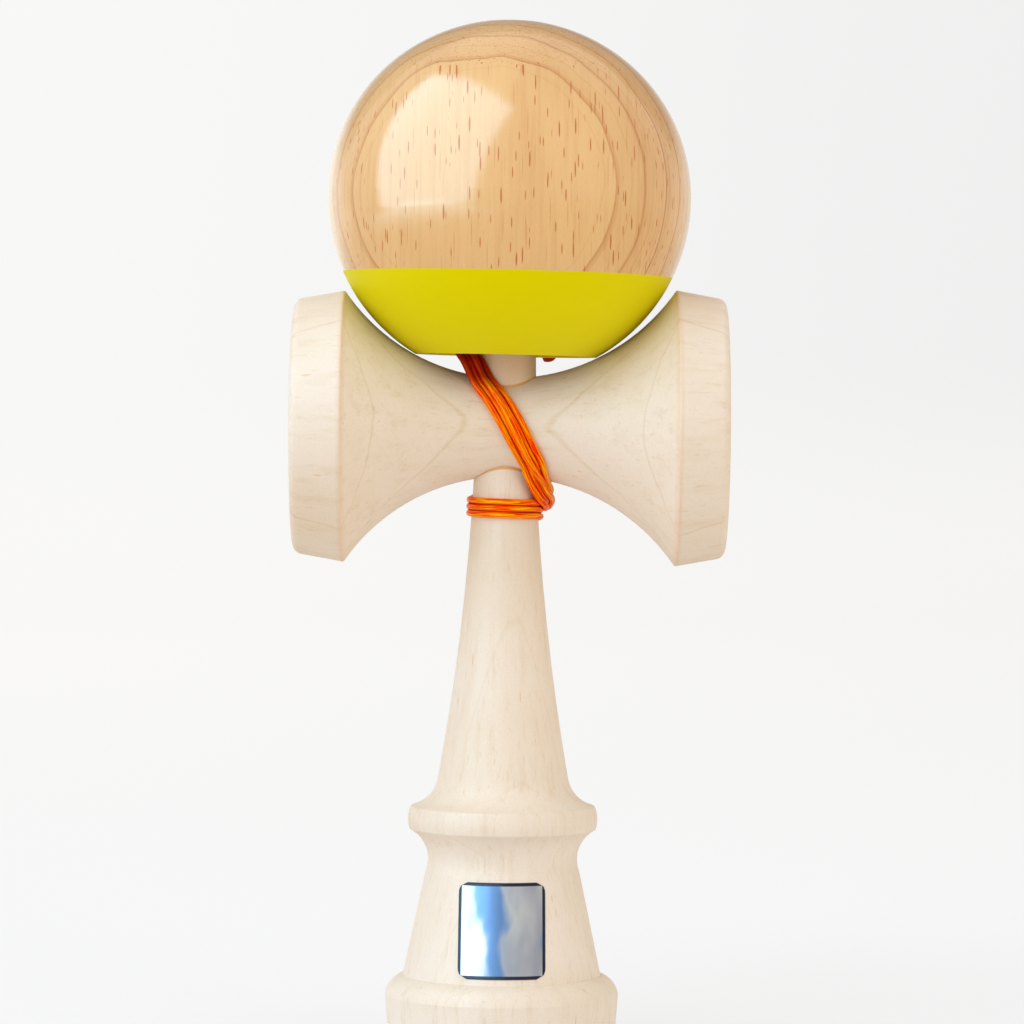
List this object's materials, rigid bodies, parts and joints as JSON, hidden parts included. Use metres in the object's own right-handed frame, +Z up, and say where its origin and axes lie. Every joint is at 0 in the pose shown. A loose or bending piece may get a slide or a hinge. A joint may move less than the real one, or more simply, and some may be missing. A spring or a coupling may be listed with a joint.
{
  "type": "kendama",
  "caption": "Wooden cup-and-ball toy: a turned handle with spike and base cup, a cross piece with a cup at each end, and a bored ball on a wound string.",
  "frame": {"origin": "middle of the base's rim, on the handle's axis, where the toy stands", "axes": "+Z up along the handle, +X towards the larger cup of the cross piece, -Y the front, where the string's diagonal shows"},
  "size_m": [0.0712, 0.0609, 0.1698],
  "materials": {
    "bare_wood": "sanded, unvarnished pale maple",
    "ball_wood_and_paint": "upper part clear gloss coat on the wood, lower part satin yellow paint",
    "bead": "sanded",
    "string": "twisted nylon fibres, slightly shiny"
  },
  "bodies": {
    "ken": {"ken_handle": "bare_wood", "sarado_cross": "bare_wood", "anchor_knot": "string", "string_winding": "string", "string_tail": "string"},
    "bead": {"stop_bead": "bead", "stop_knot": "string", "string_over_ball": "string"},
    "tama": {"tama_ball": "ball_wood_and_paint"}
  },
  "joints": [
    {"name": "tama_lift", "type": "slide", "parent": "ken", "child": "bead", "axis": [0, 0, 1], "range_m": [0, 0.06], "deforming": ["string_tail"]},
    {"name": "tama_spin", "type": "hinge", "parent": "bead", "child": "tama", "pos_m": [0.00039, 0, 0.13952], "axis": [0.0149, 0, 0.9999], "continuous": true}
  ]
}
